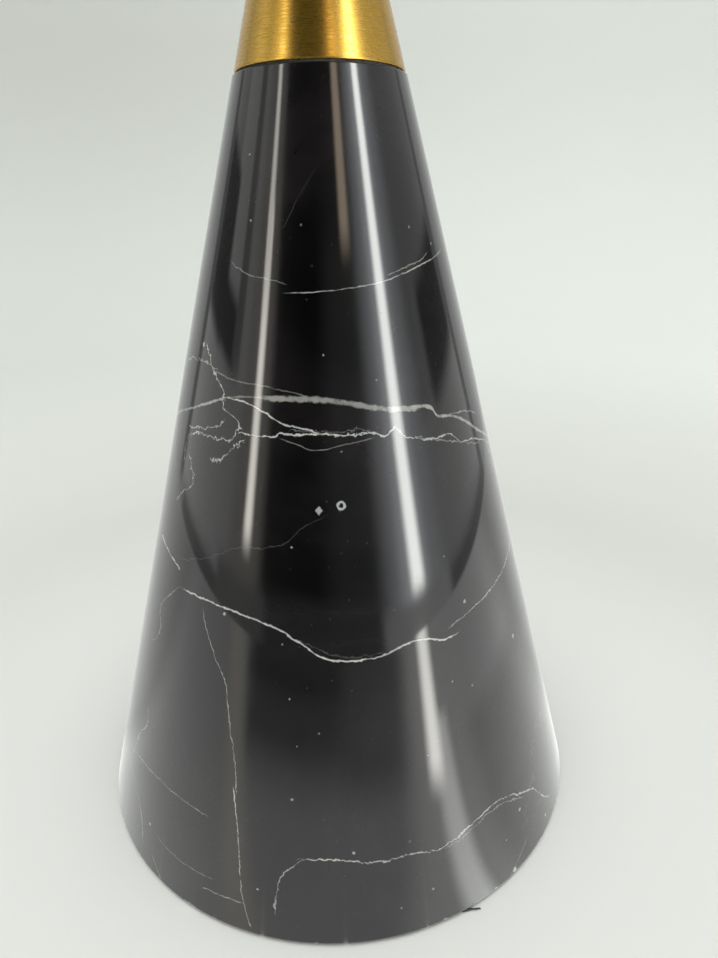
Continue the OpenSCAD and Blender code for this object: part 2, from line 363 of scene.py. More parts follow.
def soft_light(name, place, target, size, power, colour=(1, 1, 1)):
    """A square area light at place, aimed at target."""
    data = bpy.data.lights.new(name, "AREA")
    data.size, data.energy, data.color = size, power, colour
    light = bpy.data.objects.new(name, data)
    light.location = place
    light.rotation_euler = (Vector(target) - Vector(place)).to_track_quat("-Z", "Y").to_euler()
    light.visible_camera = light.visible_glossy = False
    bpy.context.scene.collection.objects.link(light)
    return light


soft_light("overhead", (-0.05, -0.3, 2.5), (0, 0, 0), 2.6, 46.0)
world = bpy.data.worlds.new("world")
world.use_nodes = True
world.node_tree.nodes["Background"].inputs["Color"].default_value = (0.92, 0.95, 0.92, 1)
world.node_tree.nodes["Background"].inputs["Strength"].default_value = 0.9
bpy.context.scene.world = world
print("floor out to", FLOOR_R, "m")

# %% [markdown]
# ### What the polish reflects
# A product studio puts two tall strip lights and black flags round a dark, shiny piece, out of the frame.
# Here they are painted as soft patches of light and dark on two screens that only reflections can see: an
# upright drum round the table and a disc lying on the floor. Each patch has a range of angles, a range of
# heights (or of distances, on the disc), soft edges and a level, and is laid over the ones before it.

# %% Reflection screens
SCREEN_R, SCREEN_HIGH = 1150.0, 2300.0  # mm
SCREEN_GAIN = 0.9
WARM, COOL, NEUTRAL = (1.0, 0.965, 0.87), (0.93, 0.97, 1.0), (0.98, 1.0, 0.97)
# (from angle, to angle, soft angle, from mm, to mm, soft mm, level, colour), laid in this order
DRUM_PATCHES = [
    (-113, -60, 6, 90, 400, 60, 1.30, NEUTRAL),        # low wall on both sides
    (57, 118, 8, 100, 330, 70, 1.20, NEUTRAL),
    (-70, -60, 8, 60, 2300, 90, 1.25, NEUTRAL),        # wall left of the left strip
    (-96, -80, 5, 620, 2300, 60, 1.30, NEUTRAL),       # a paler panel further round
    (-113, -97, 5, 460, 760, 60, 0.12, NEUTRAL),       # a dark frame round the panel
    (-98, -80, 5, 465, 550, 45, 0.12, NEUTRAL),
    (-78, -74, 3.5, 500, 2300, 90, 0.50, NEUTRAL),
    (84, 112, 7, 390, 560, 90, 0.12, NEUTRAL),         # a dark bar on the right
    (-119.5, -117.5, 3.5, 60, 2300, 60, 0.30, NEUTRAL),  # thin upright edges
    (118, 120, 3.5, 60, 2300, 60, 0.40, NEUTRAL),
    (-108, 118, 6, -200, 26, 34, 0.36, NEUTRAL),       # foot of the wall
    (-42, 27, 11, -200, 2300, 60, 0.012, NEUTRAL),     # the black flag in front
    (-38, 24, 12, -200, 30, 130, 0.20, NEUTRAL),       # its foot, where the floor lights it
    (6, 30, 18, -200, 700, 500, 0.20, NEUTRAL),
    (17, 20, 5.5, 940, 1500, 130, 4.2, (1.0, 0.80, 0.60)),
    (36, 56, 16, 20, 2300, 130, 1.9, COOL),            # haze round the right strip
    (41, 50, 8, 40, 2300, 130, 3.6, COOL),
    (45.3, 47.8, 5.2, 115, 2300, 80, 20.0, NEUTRAL),    # right strip
    (-60, -48, 9, 60, 2300, 220, 0.9, WARM),           # haze round the left strip
    (-53.3, -52.4, 3.8, 215, 850, 90, 14.0, WARM),    # left strip, brighter low down
    (-53.9, -53.0, 3.8, 850, 2300, 300, 8.5, WARM),
    (28, 64, 6, -200, 45, 50, 1.6, NEUTRAL),           # both strips stop above the floor
    (-68, -42, 6, -200, 60, 70, 0.5, NEUTRAL),
]
# the same, and last the lean in degrees x mm
DISC_PATCHES = [
    (-170, -40, 16, 0, 1300, 150, 1.30, NEUTRAL, 0),
    (-178, -96, 12, 0, 1300, 150, 0.92, NEUTRAL, 0),
    (50, 110, 12, 150, 480, 120, 1.40, NEUTRAL, 0),
    (50, 110, 8, 480, 1300, 120, 1.95, NEUTRAL, 0),
    (110, 175, 20, 0, 1300, 150, 1.0, NEUTRAL, 0),
    (-38, 24, 12, 560, 1300, 280, 0.36, NEUTRAL, 0),
    (-38, 24, 12, 900, 1300, 250, 0.20, NEUTRAL, 0),
    (8, 26, 12, 500, 1300, 200, 0.50, NEUTRAL, 0),
    (-58, -57, 7, 200, 1300, 100, 1.7, WARM, -5500),   # the left strip's path across the floor
    (41.5, 58, 12, 150, 1300, 100, 2.1, NEUTRAL, 3400),  # the right strip's, wide and then bright
    (48, 50.5, 5, 150, 460, 90, 5.4, NEUTRAL, 3000),
    (47.0, 48.0, 4.6, 400, 1120, 110, 14.5, (1.0, 0.99, 0.94), 3750),
]


def screen_paint(name, patches, ground, across):
    """A glowing material: each patch laid over the last by its soft mask in angle and in across."""
    material, tree, shader, place = blank(name)
    spot = use(tree, ROUND, {"Vector": place})
    shade = ground
    for start, end, soft, low, high, soft_far, level, colour, *lean in patches:
        values = {"Angle": spot["Angle"], "From": start, "To": end, "Soft": soft}
        values |= {"Far": spot[across], "Low": low, "High": high, "Soft far": soft_far}
        mask = use(tree, PATCH, {**values, "Lean": lean[0] if lean else 0.0})["Mask"]
        shade = mix_colour(tree, mask, shade, tuple(level * c for c in colour))
    tree.links.new(shade, shader.inputs["Emission Color"])
    shader.inputs["Emission Strength"].default_value = SCREEN_GAIN
    shader.inputs["Base Color"].default_value = (0, 0, 0, 1)
    shader.inputs["Specular IOR Level"].default_value = 0.0
    return material


def screen(name, profile, material):
    """A turned stage screen that only reflections see."""
    rings = turned_points(profile, 96)
    made = add_mesh(name, rings.reshape(-1, 3), [ring_faces(len(profile), 96)])
    made.data.materials.append(material)
    made.visible_camera = made.visible_diffuse = made.visible_shadow = made.visible_transmission = False


drum = [(SCREEN_R * MM, 0.0), (SCREEN_R * MM, SCREEN_HIGH * MM)]
screen("reflection_drum", drum, screen_paint("drum_paint", DRUM_PATCHES, (0.80, 0.82, 0.80), "Height"))
disc = [(FOOT_R + 0.4 * MM, 0.3 * MM), (SCREEN_R * MM, 0.3 * MM)]
screen("reflection_disc", disc, screen_paint("disc_paint", DISC_PATCHES, (1.28, 1.28, 1.27), "Radius"))
print(len(DRUM_PATCHES) + len(DISC_PATCHES), "patches of light and dark")

# %% [markdown]
# ## The marble, in parts
# The marble is built up from groups as well: veins on given courses, wild veins, a clouded ground
# with its flecks, and the polish over it all.
#
# ### A vein along a course
# A vein is a crack that filled with white calcite. It follows a course, swells and thins, and dies away at
# both ends. The group gets how far along the course a point is (0 to 1) and how far off it (mm), and gives
# back how much calcite is there. A grain input between 0 and 1 makes the width uneven.

# %% Group: vein
VEIN, given, out = group(
    "vein",
    {
        "Along": ("float", 0.5),
        "Off": ("float", 0.0),
        "Width": ("float", 1.0),
        "Edge": ("float", 0.3),
        "Strength": ("float", 1.0),
        "Grain": ("float", 0.5),
    },
    {"Line": "float"},
)
ends = maths(VEIN, "MINIMUM", given["Along"], maths(VEIN, "SUBTRACT", 1.0, given["Along"]))
taper = ramp(VEIN, ends, 0.0, 0.07)
swell = ramp(VEIN, given["Grain"], 0.32, 0.68, 0.1, 1.5)
half = maths(VEIN, "MULTIPLY", maths(VEIN, "MULTIPLY", given["Width"], swell), 0.5)
half = maths(VEIN, "MULTIPLY", half, taper)
beyond = maths(VEIN, "SUBTRACT", maths(VEIN, "ABSOLUTE", given["Off"]), half)
core = ramp(VEIN, beyond, 0.0, given["Edge"], 1.0, 0.0)
fade = ramp(VEIN, given["Grain"], 0.28, 0.55, 0.35, 1.0)
fade = maths(VEIN, "MULTIPLY", fade, given["Strength"])
line = maths(VEIN, "MULTIPLY", maths(VEIN, "MULTIPLY", core, taper), fade)
VEIN.links.new(line, out["Line"])
print("group", VEIN.name)

# %% [markdown]
# ### Veins where nobody drew them
# The back of the cone and the table top need veins too, and there they may fall anywhere. Stone cracks like
# dried mud, into cells, and calcite fills the borders between them. Voronoi cells have such borders, with
# an even width; noise bends them and thins them, and a second noise decides which are filled at all.

# %% Group: wild veins
WILD, given, out = group(
    "wild_veins",
    {"Vector": ("vector", None), "Scale": ("float", 5.0), "Width": ("float", 0.01), "Share": ("float", 0.5)},
    {"Line": "float"},
)
drift = noise(WILD, given["Vector"], maths(WILD, "MULTIPLY", given["Scale"], 1.3), 7.0, 0.62)
centred = vector_maths(WILD, "SUBTRACT", drift.outputs["Color"], MIDDLE)
bend = maths(WILD, "DIVIDE", 1.5, given["Scale"])
bent = vector_maths(WILD, "ADD", given["Vector"], vector_maths(WILD, "SCALE", centred, scale=bend))
cells = node(WILD, "TexVoronoi", {"Vector": bent, "Scale": given["Scale"]}, feature="DISTANCE_TO_EDGE")
border = cells.outputs[0]
wide = maths(WILD, "MULTIPLY", given["Width"], ramp(WILD, drift.outputs[0], 0.35, 0.65, 0.25, 1.3))
core = ramp(WILD, border, 0.0, wide, 1.0, 0.0)
shifted = vector_maths(WILD, "ADD", given["Vector"], (3.1, 1.7, 5.3))  # elsewhere in the same noise
where = noise(WILD, shifted, maths(WILD, "MULTIPLY", given["Scale"], 0.8), 2.0).outputs[0]
filled = ramp(WILD, maths(WILD, "ADD", where, given["Share"]), 1.0, 1.12)
WILD.links.new(maths(WILD, "MULTIPLY", core, filled), out["Line"])
print("group", WILD.name)

# %% [markdown]
# ### The black ground and its flecks
# The ground of a black marble isn't one black: it is clouded with slightly greyer drifts, and dusted with
# pin-point flecks of calcite and a few larger ones. Voronoi cells give the flecks, each cell keeping its
# fleck only if its own random colour says so.

# %% Group: marble ground
GROUND, given, out = group(
    "marble_ground", {"Vector": ("vector", None)}, {"Cloud": "float", "Flecks": "float", "Dust": "float"}
)
drift = noise(GROUND, given["Vector"], 9.0, 6.0, 0.6, 0.6).outputs[0]
GROUND.links.new(ramp(GROUND, drift, 0.38, 0.75), out["Cloud"])


def flecks(tree, vector, per_metre, keep, size, edge):
    """Specks of a given size (in cells): a cell holds one where its random value is over keep."""
    cells = node(tree, "TexVoronoi", {"Vector": vector, "Scale": per_metre, "Randomness": 1.0})
    lot = node(tree, "SeparateColor", {0: cells.outputs["Color"]}).outputs[0]
    chosen = ramp(tree, lot, keep, keep + 0.01)
    dot = ramp(tree, cells.outputs["Distance"], size, size + edge, 1.0, 0.0)
    return maths(tree, "MULTIPLY", dot, chosen)


GROUND.links.new(flecks(GROUND, given["Vector"], 60.0, 0.94, 0.03, 0.05), out["Flecks"])
GROUND.links.new(flecks(GROUND, given["Vector"], 330.0, 0.90, 0.08, 0.12), out["Dust"])
print("group", GROUND.name)

# %% [markdown]
# ### Polish
# No polish is perfect. Under a strip light the surface shows a faint haze where the grinding was a little
# coarser, and hair-fine scratches. The group gives a roughness that drifts between two values and a height
# for a very slight waviness.

# %% Group: polish
POLISH, given, out = group(
    "polish",
    {
        "Vector": ("vector", None),
        "Smooth": ("float", 0.05),
        "Hazy": ("float", 0.12),
        "Scale": ("float", 20.0),
    },
    {"Roughness": "float", "Height": "float"},
)
haze = noise(POLISH, given["Vector"], given["Scale"], 4.0, 0.6).outputs[0]
fine = noise(POLISH, given["Vector"], maths(POLISH, "MULTIPLY", given["Scale"], 45.0), 2.0, 0.7).outputs[0]
scratches = maths(POLISH, "MULTIPLY", fine, 0.3)
share = maths(POLISH, "MULTIPLY_ADD", ramp(POLISH, haze, 0.35, 0.7), 0.7, scratches)
rough = node(POLISH, "MapRange", {0: share, 1: 0.0, 2: 1.0, 3: given["Smooth"], 4: given["Hazy"]})
POLISH.links.new(rough.outputs[0], out["Roughness"])
POLISH.links.new(maths(POLISH, "MULTIPLY_ADD", fine, 2.0, haze), out["Height"])
print("group", POLISH.name)

# %% [markdown]
# ### Brushing
# Brushed brass is turned against an abrasive pad, so its scratches run round the piece. Round the axis the
# pattern hardly changes, and up the axis it changes every tenth of a millimetre: a noise read at
# (a little of the angle, a lot of the height) gives just that.

# %% Group: brushing
BRUSH, given, out = group(
    "brushing",
    {"Around": ("float", 0.0), "Across": ("float", 0.0), "Fine": ("float", 6.0)},
    {"Streak": "float", "Height": "float"},
)


def streaks(across_scale, around_scale, seed):
    """Noise stretched along the strokes: across is in mm, around in degrees."""
    across = maths(BRUSH, "MULTIPLY", given["Across"], maths(BRUSH, "MULTIPLY", given["Fine"], across_scale))
    around = maths(BRUSH, "MULTIPLY_ADD", given["Around"], around_scale, seed)
    place = node(BRUSH, "CombineXYZ", {0: around, 1: across, 2: seed}).outputs[0]
    return noise(BRUSH, place, 1.0, 3.0, 0.65).outputs[0]


broad, narrow = streaks(0.3, 0.03, 3.0), streaks(1.0, 0.1, 11.0)
mixed = maths(BRUSH, "MULTIPLY_ADD", broad, 0.25, maths(BRUSH, "MULTIPLY", narrow, 0.75))
BRUSH.links.new(ramp(BRUSH, mixed, 0.3, 0.7), out["Streak"])
BRUSH.links.new(mixed, out["Height"])
print("group", BRUSH.name)

# %% [markdown]
# ## The veins of the cone
# The stone's character is in a few veins that run right round it: a thin arc near the head, a thick soft
# girdle with a sharp crack just under it, a wide smile below the middle and a line that climbs the foot.
# Each is a course of a few given points. A level vein gives its height (mm) at some angles, an upright
# one gives its angle at some heights. In the shader a Float Curve draws the course through the points, and
# noise shifts the coordinates a little so the line crinkles as a crack does.

# %% Vein courses
# name: (course points, width mm, edge mm, strength, crinkle)
LEVEL_VEINS = {
    "arc_left": ([(-44, 323), (-35, 318), (-26, 316), (-15, 314)], 0.2, 0.3, 0.35, 0.6),
    "arc": ([(-18, 310), (2, 311), (19, 313), (34, 317), (45, 320), (55, 322), (66, 326)],
            0.3, 0.22, 0.75, 0.35),
    "arc_ghost": ([(24, 316), (34, 319), (44, 322), (50, 325)], 0.2, 0.25, 0.5, 0.7),
    "girdle_left": ([(-82, 239), (-69, 247), (-59, 252), (-47, 258), (-37, 263)], 0.9, 0.4, 0.55, 0.4),
    "girdle_link": ([(-40, 262), (-32, 264), (-20, 265)], 0.4, 0.45, 0.30, 0.3),
    "girdle": ([(-25, 265), (-15, 265), (-5, 265), (5, 263), (19, 259), (32, 257)], 1.5, 1.0, 0.50, 0.3),
    "girdle_right": ([(25, 258), (36, 256), (38, 252), (46, 249), (53, 244), (62, 236), (80, 222)],
                     1.1, 0.6, 0.62, 0.35),
    "girdle_fork": ([(44, 250), (53, 249), (64, 243)], 0.4, 0.2, 0.6, 1.0),
    "girdle_thread": ([(-46, 274), (-35, 271), (-23, 270), (-13, 268), (-5, 265)], 0.2, 0.35, 0.28, 0.4),
    "crack_left": ([(-32, 248), (-24, 248), (-18, 248), (-16, 250), (-8, 249)], 0.5, 0.2, 1.0, 0.8),
    "crack": ([(-12, 249), (-2, 250), (5, 249), (14, 249), (17, 247), (20, 250), (24, 246), (31, 243)],
              0.5, 0.2, 1.0, 1.2),
    "crack_right": ([(28, 243), (35, 242), (43, 241), (48, 236), (56, 234), (75, 221)], 0.4, 0.2, 0.75, 0.9),
    "crack_low": ([(29, 244), (38, 240), (47, 236), (62, 229)], 0.2, 0.25, 0.4, 1.1),
    "crack_twin": ([(-14, 252), (-6, 251), (4, 251), (16, 249)], 0.2, 0.2, 0.3, 1.5),
    "crack_sag": ([(-17, 248), (-10, 245), (-5, 243), (4, 245), (14, 247)], 0.15, 0.3, 0.32, 0.3),
    "slant": ([(-39, 263), (-30, 262), (-23, 259), (-15, 254), (-8, 252), (-2, 249)], 0.5, 0.2, 0.85, 0.5),
    "net_top": ([(-72, 272), (-58, 276), (-50, 276), (-43, 271)], 0.3, 0.22, 0.6, 1.6),
    "net_low": ([(-56, 240), (-47, 243), (-41, 243), (-33, 244)], 0.4, 0.2, 0.9, 1.6),
    "net_mid": ([(-58, 244), (-51, 245), (-43, 248), (-37, 253)], 0.4, 0.2, 0.7, 1.4),
    "net_foot": ([(-43, 232), (-37, 235), (-33, 241), (-28, 246)], 0.35, 0.2, 0.85, 2.0),
    "smile_left": ([(-68, 180), (-60, 177), (-50, 173)], 1.0, 0.3, 0.85, 0.4),
    "smile": ([(-50, 165), (-43, 165), (-31, 165), (-17, 161), (-10, 155), (1, 146), (9, 146), (20, 150),
               (31, 146), (35, 150)], 0.6, 0.24, 0.9, 0.6),
    "smile_twin": ([(-14, 160), (-7, 153), (2, 148), (12, 148)], 0.2, 0.25, 0.12, 1.0),
    "smile_right": ([(29, 150), (35, 153), (44, 156), (55, 159), (66, 163), (80, 164)],
                    0.35, 0.24, 0.65, 0.8),
    "foot": ([(-11, 46), (-3, 47), (6, 44), (14, 44), (20, 42), (29, 46), (36, 49), (41, 46), (45, 41),
              (50, 35), (55, 21), (61, 9)], 0.5, 0.22, 0.8, 1.1),
    "foot_twin": ([(21, 40), (28, 43), (35, 46), (41, 43), (47, 35)], 0.25, 0.25, 0.45, 1.3),
    "foot_left": ([(-63, 51), (-52, 56), (-43, 57), (-30, 56)], 0.2, 0.28, 0.36, 0.7),
    "foot_left_low": ([(-46, 25), (-35, 23), (-28, 24)], 0.2, 0.3, 0.25, 0.7),
    "foot_left_rim": ([(-31, 16), (-26, 17), (-21, 17)], 0.3, 0.25, 0.5, 0.6),
    "hair": ([(-53, 177), (-39, 186), (-28, 195), (-16, 199), (-8, 209), (-1, 215)], 0.1, 0.3, 0.10, 1.0),
    "back_girdle": ([(95, 214), (120, 225), (140, 221), (165, 232), (179, 229)], 0.9, 0.4, 0.6, 0.7),
    "back_girdle_left": ([(-179, 229), (-150, 236), (-125, 231), (-100, 243), (-80, 240)],
                         1.2, 0.4, 0.6, 0.6),
    "back_smile": ([(86, 166), (105, 172), (128, 160), (150, 163), (176, 148)], 0.5, 0.25, 0.7, 0.9),
    "back_foot": ([(-170, 92), (-150, 84), (-128, 88), (-105, 71), (-84, 76)], 0.45, 0.22, 0.7, 1.1),
}
UPRIGHT_VEINS = {
    "net_left": ([(243, -35), (247, -32), (252, -31), (255, -34), (258, -39), (262, -39), (267, -41),
                  (275, -47), (281, -50), (287, -57)], 0.4, 0.2, 1.0, 2.2),
    "net_tail": ([(204, -60), (212, -55), (219, -50), (224, -51), (232, -55)], 0.35, 0.2, 0.9, 2.2),
    "net_side": ([(225, -57), (233, -58), (242, -54)], 0.3, 0.2, 0.6, 2.0),
    "smile_hair": ([(122, -63), (135, -57), (144, -59), (157, -54), (166, -48)], 0.22, 0.25, 0.5, 1.2),
    "climber": ([(72, -24), (90, -25), (108, -27), (128, -29), (140, -33), (150, -36), (162, -39)],
                0.25, 0.25, 0.55, 0.8),
    "climber_low": ([(30, -22), (52, -23), (78, -25)], 0.3, 0.25, 0.7, 0.6),
    "climber_foot": ([(5, -19), (18, -21), (30, -22)], 0.25, 0.25, 0.5, 0.6),
    "foot_rise": ([(14, -14), (27, -14), (36, -13), (44, -10), (48, -8)], 0.35, 0.25, 0.65, 1.0),
    "side_crack": ([(10, -51), (24, -53), (34, -57), (41, -64), (54, -62), (64, -61), (80, -57), (90, -59)],
                   0.3, 0.22, 0.55, 1.4),
    "side_hair": ([(2, -42), (12, -47)], 0.25, 0.22, 0.5, 0.5),
    "head_hair": ([(336, -18), (350, -11), (362, -2)], 0.1, 0.25, 0.07, 0.5),
    "right_rim": ([(3, 37), (8, 41), (14, 45)], 0.25, 0.22, 0.45, 0.6),
    "back_climber": ([(20, 152), (70, 144), (120, 150), (170, 138), (214, 131)], 0.4, 0.25, 0.65, 0.9),
    "back_hair": ([(150, -140), (220, -128), (290, -133), (350, -120)], 0.22, 0.25, 0.45, 0.8),
}
print(len(LEVEL_VEINS), "level veins and", len(UPRIGHT_VEINS), "upright ones")

# %% [markdown]
# ### From a course to a vein
# Blender's Float Curve node runs from 0 to 1 both ways, so a course is squeezed into that square first and
# the answer is stretched back to millimetres or degrees. How far off the course a point lies is then one
# subtraction: straight up and down for a level vein, and round the cone for an upright one.

# %% Helper: courses
def course(tree, points, value):
    """Follows given (x, y) points with a Float Curve: returns (how far along 0..1, y at value)."""
    xs, ys = np.asarray(points, float).T
    low, span = ys.min() - 1.0, np.ptp(ys) + 2.0
    along = node(tree, "MapRange", {0: value, 1: float(xs[0]), 2: float(xs[-1])}).outputs[0]
    curve = node(tree, "FloatCurve", {1: along})
    line = curve.mapping.curves[0]
    spots = list(zip((xs - xs[0]) / (xs[-1] - xs[0]), (ys - low) / span))
    for x, y in spots[1:-1]:
        line.points.new(x, y)
    line.points[0].location, line.points[-1].location = spots[0], spots[-1]
    curve.mapping.update()
    height = maths(tree, "MULTIPLY_ADD", curve.outputs[0], float(span), float(low))
    return along, height


def laid_veins(tree, place):
    """Every listed vein of the cone together: the strongest calcite at each point, as a socket."""
    spot = use(tree, ROUND, {"Vector": place})
    slow = maths(tree, "SUBTRACT", noise(tree, place, 105.0, 4.0, 0.65).outputs[0], 0.5)
    quick = maths(tree, "SUBTRACT", noise(tree, place, 420.0, 3.0, 0.7).outputs[0], 0.5)
    wobble = maths(tree, "MULTIPLY_ADD", slow, 5.0, maths(tree, "MULTIPLY", quick, 3.2))
    grain = noise(tree, place, 130.0, 5.0, 0.75).outputs[0]
    degree = maths(tree, "MULTIPLY", spot["Radius"], math.pi / 180)
    total = 0.0
    for level, veins in ((True, LEVEL_VEINS), (False, UPRIGHT_VEINS)):
        for points, width, edge, strength, crinkle in veins.values():
            if level:
                along, line = course(tree, points, spot["Angle"])
                off = maths(tree, "SUBTRACT", spot["Height"], line)
            else:
                along, line = course(tree, points, spot["Height"])
                off = maths(tree, "MULTIPLY", maths(tree, "SUBTRACT", spot["Angle"], line), degree)
            off = maths(tree, "MULTIPLY_ADD", wobble, crinkle * 0.7, off)
            values = {"Along": along, "Off": off, "Width": width, "Edge": edge, "Strength": strength}
            total = maths(tree, "MAXIMUM", total, use(tree, VEIN, {**values, "Grain": grain})["Line"])
    return total


print("courses ready")

# %% [markdown]
# ### Fossils and flecks
# Two small fossils sit side by side on the front, a white ring with a dark heart and a pale diamond, and
# round them lie single flecks. A fleck is simply every point nearer than its size to one spot on the
# stone, and the spot is worked out from its angle and height on the cone's line.

# %% Flecks listed one by one
# (angle, height, size mm, strength)
LAID_FLECKS = [
    (-39, 367, 1.0, 0.5), (-34, 340, 1.2, 0.6), (-10, 338, 0.8, 0.4), (40, 336, 1.0, 0.5),
    (54, 328, 1.4, 0.6), (-2, 284, 0.9, 0.5), (16, 272, 0.9, 0.5), (3, 242, 0.9, 0.5),
    (-12, 199, 1.2, 0.6), (32, 186, 1.0, 0.5), (37, 160, 1.8, 0.6), (-14, 153, 1.0, 0.4),
    (-31, 162, 1.6, 0.7), (-12, 127, 1.0, 0.4), (56, 123, 2.4, 0.6), (35, 117, 1.0, 0.5),
    (29, 124, 1.2, 0.5), (-5, 111, 1.0, 0.4), (-10, 104, 0.9, 0.4), (-11, 77, 1.4, 0.5), (2, 50, 1.6, 0.6),
    (-18, 27, 1.4, 0.6), (-49, 27, 1.6, 0.6), (20, 92, 0.9, 0.4), (44, 33, 2.0, 0.7), (54, 10, 2.0, 0.6),
    (38, 24, 1.2, 0.5), (18, 22, 1.2, 0.5), (11, 17, 1.0, 0.4), (-55, 284, 2.2, 0.7), (-49, 280, 1.4, 0.6),
    (120, 180, 2.0, 0.6), (160, 96, 1.8, 0.5), (-140, 150, 2.2, 0.6), (-165, 300, 1.2, 0.5),
    (-35, 1.8, 3.0, 0.8), (-33.8, 2.1, 3.0, 0.8), (-32.6, 2.1, 2.6, 0.8), (-31.5, 1.8, 2.2, 0.7),
    (-6, 2.5, 2.0, 0.5), (20, 2.5, 2.6, 0.6), (33, 3, 2.0, 0.6), (39, 4, 3.0, 0.7),
]


def cone_point(angle, height):
    """The point (x, y, z) in metres on the cone's face at an angle in degrees and a height in mm."""
    r, t = line_r(height * MM), math.radians(angle)
    return r * math.sin(t), -r * math.cos(t), height * MM


RING_AT, RING_FOSSIL_R = (2.2, 218), 1.6  # degrees and mm, then mm
DIAMOND_AT = cone_point(-4.2, 216)


def away_from(tree, place, angle, height):
    """Distance in mm from one spot of the cone, as a socket."""
    return maths(tree, "MULTIPLY", vector_maths(tree, "DISTANCE", place, cone_point(angle, height)), 1000.0)


def laid_flecks(tree, place):
    """All listed flecks and the two fossils, as a socket."""
    shake = vector_maths(tree, "SUBTRACT", noise(tree, place, 700.0, 2.0).outputs["Color"], MIDDLE)
    shaken = vector_maths(tree, "MULTIPLY_ADD", shake, (1.4 * MM,) * 3, place)
    total = 0.0
    for angle, height, size, strength in LAID_FLECKS:
        dot = ramp(tree, away_from(tree, shaken, angle, height), size * 0.3, size * 0.65, strength, 0.0)
        total = maths(tree, "MAXIMUM", total, dot)
    band = maths(tree, "SUBTRACT", away_from(tree, shaken, *RING_AT), RING_FOSSIL_R)
    band = maths(tree, "ABSOLUTE", band)
    total = maths(tree, "MAXIMUM", total, ramp(tree, band, 0.35, 0.8, 0.95, 0.0))
    sides = node(tree, "SeparateXYZ", {0: vector_maths(tree, "SUBTRACT", shaken, DIAMOND_AT)}).outputs
    diamond = maths(tree, "ADD", maths(tree, "ABSOLUTE", sides[0]), maths(tree, "ABSOLUTE", sides[2]))
    return maths(tree, "MAXIMUM", total, ramp(tree, diamond, 1.6 * MM, 2.3 * MM, 0.75, 0.0))


print(len(LAID_FLECKS), "flecks laid by hand")

# %% [markdown]
# ## Polished black marble
# The stone is nearly black with a high polish. A polish on stone reflects twice over: a sharp picture from
# the flat of the surface and a soft glow round it from its last fine scratches. So the body of the stone
# carries the soft glow at a middling roughness, and a thin clear coat with hardly any roughness carries the
# sharp picture. Veins and flecks lie in the body, under the same polish.

# %% Material: marble
def marble(name, lines):
    """Black marble: lines(tree, place) gives the veins; the ground, flecks and polish are the same."""
    material, tree, shader, place = blank(name)
    ground = use(tree, GROUND, {"Vector": place})
    body = mix_colour(tree, ground["Cloud"], (0.0012, 0.0012, 0.0016), (0.0160, 0.0125, 0.0145))
    specks = maths(tree, "MAXIMUM", maths(tree, "MULTIPLY", ground["Flecks"], 0.16),
                   maths(tree, "MULTIPLY", ground["Dust"], 0.05))
    body = mix_colour(tree, specks, body, (0.55, 0.55, 0.52))
    calcite = lines(tree, place)
    tint = noise(tree, place, 40.0, 2.0).outputs[0]
    white = mix_colour(tree, ramp(tree, tint, 0.35, 0.65), (0.66, 0.65, 0.61), (0.50, 0.52, 0.53))
    body = mix_colour(tree, calcite, body, white)
    tree.links.new(body, shader.inputs["Base Color"])
    polish = use(tree, POLISH, {"Vector": place, "Smooth": 0.24, "Hazy": 0.38, "Scale": 14.0})
    rough = maths(tree, "MULTIPLY_ADD", calcite, 0.06, polish["Roughness"])
    tree.links.new(rough, shader.inputs["Roughness"])
    bump = node(tree, "Bump", {"Height": polish["Height"], "Strength": 0.07, "Distance": 0.0005})
    tree.links.new(bump.outputs[0], shader.inputs["Normal"])
    shader.inputs["Specular IOR Level"].default_value = 0.08
    shader.inputs["Coat Weight"].default_value = 1.0
    shader.inputs["Coat Roughness"].default_value = 0.045
    shader.inputs["Coat IOR"].default_value = 1.5
    return material


def cone_lines(tree, place):
    """The cone's own veins and flecks, with a few wild hairs between them."""
    wild = use(tree, WILD, {"Vector": place, "Scale": 4.0, "Width": 0.003, "Share": 0.42})["Line"]
    drawn = maths(tree, "MAXIMUM", laid_veins(tree, place), laid_flecks(tree, place))
    return maths(tree, "MAXIMUM", drawn, maths(tree, "MULTIPLY", wild, 0.16))


def top_lines(tree, place):
    """The table top's veins: a few bold ones, a finer net and flecks, all fallen as they may."""
    bold = use(tree, WILD, {"Vector": place, "Scale": 5.0, "Width": 0.008, "Share": 0.62})["Line"]
    fine = use(tree, WILD, {"Vector": place, "Scale": 13.0, "Width": 0.009, "Share": 0.56})["Line"]
    return maths(tree, "MAXIMUM", maths(tree, "MULTIPLY", bold, 0.95), maths(tree, "MULTIPLY", fine, 0.55))


CONE_MARBLE = marble("cone_marble", cone_lines)
TOP_MARBLE = marble("top_marble", top_lines)
print(len(CONE_MARBLE.node_tree.nodes), "nodes in the cone's marble")

# %% [markdown]
# ## Brushed brass
# The neck, stem and rings are brass turned against an abrasive, so the scratches run round them and the
# light spreads up and down instead. Anisotropy gives the spread, with its tangent turned round the axis,
# and the brushing group lays the scratches themselves into colour, roughness and relief. Thin lacquer keeps
# it yellow; a little brown gathers where hands and polish never reach.

